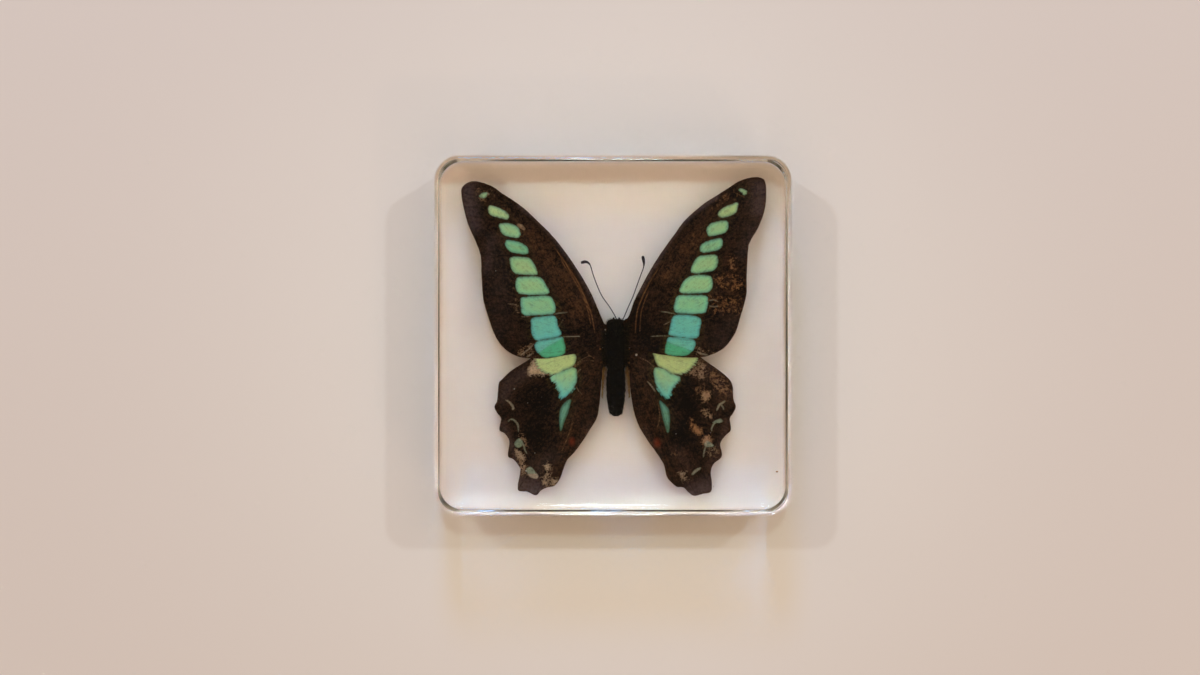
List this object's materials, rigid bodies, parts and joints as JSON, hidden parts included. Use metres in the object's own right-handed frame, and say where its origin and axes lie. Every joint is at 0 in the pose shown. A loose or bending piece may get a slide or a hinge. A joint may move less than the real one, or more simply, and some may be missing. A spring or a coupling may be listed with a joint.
{
  "type": "butterfly specimen in a clear resin block",
  "caption": "Flat square block of clear cast resin with rounded corners and a spread black and turquoise butterfly sealed in its middle.",
  "frame": {"origin": "centre of the block's flat back face", "axes": "+Z out through the front face, +Y towards the insect's head, +X to the right as seen from the front"},
  "size_m": [0.08, 0.0806, 0.017],
  "materials": {
    "clear_resin": "clear polished cast resin with a faint warm tint",
    "wing_scales": "brown-black wing scales with translucent green to turquoise windows",
    "body_hair": "black chitin under short dark hair",
    "antenna_shell": "dark satin chitin"
  },
  "bodies": {
    "root": {"block_lower": "clear_resin", "block_upper": "clear_resin", "body": "body_hair", "forewing_left": "wing_scales", "forewing_right": "wing_scales", "hindwing_left": "wing_scales", "hindwing_right": "wing_scales", "antenna_left": "antenna_shell", "antenna_right": "antenna_shell"}
  },
  "joints": []
}
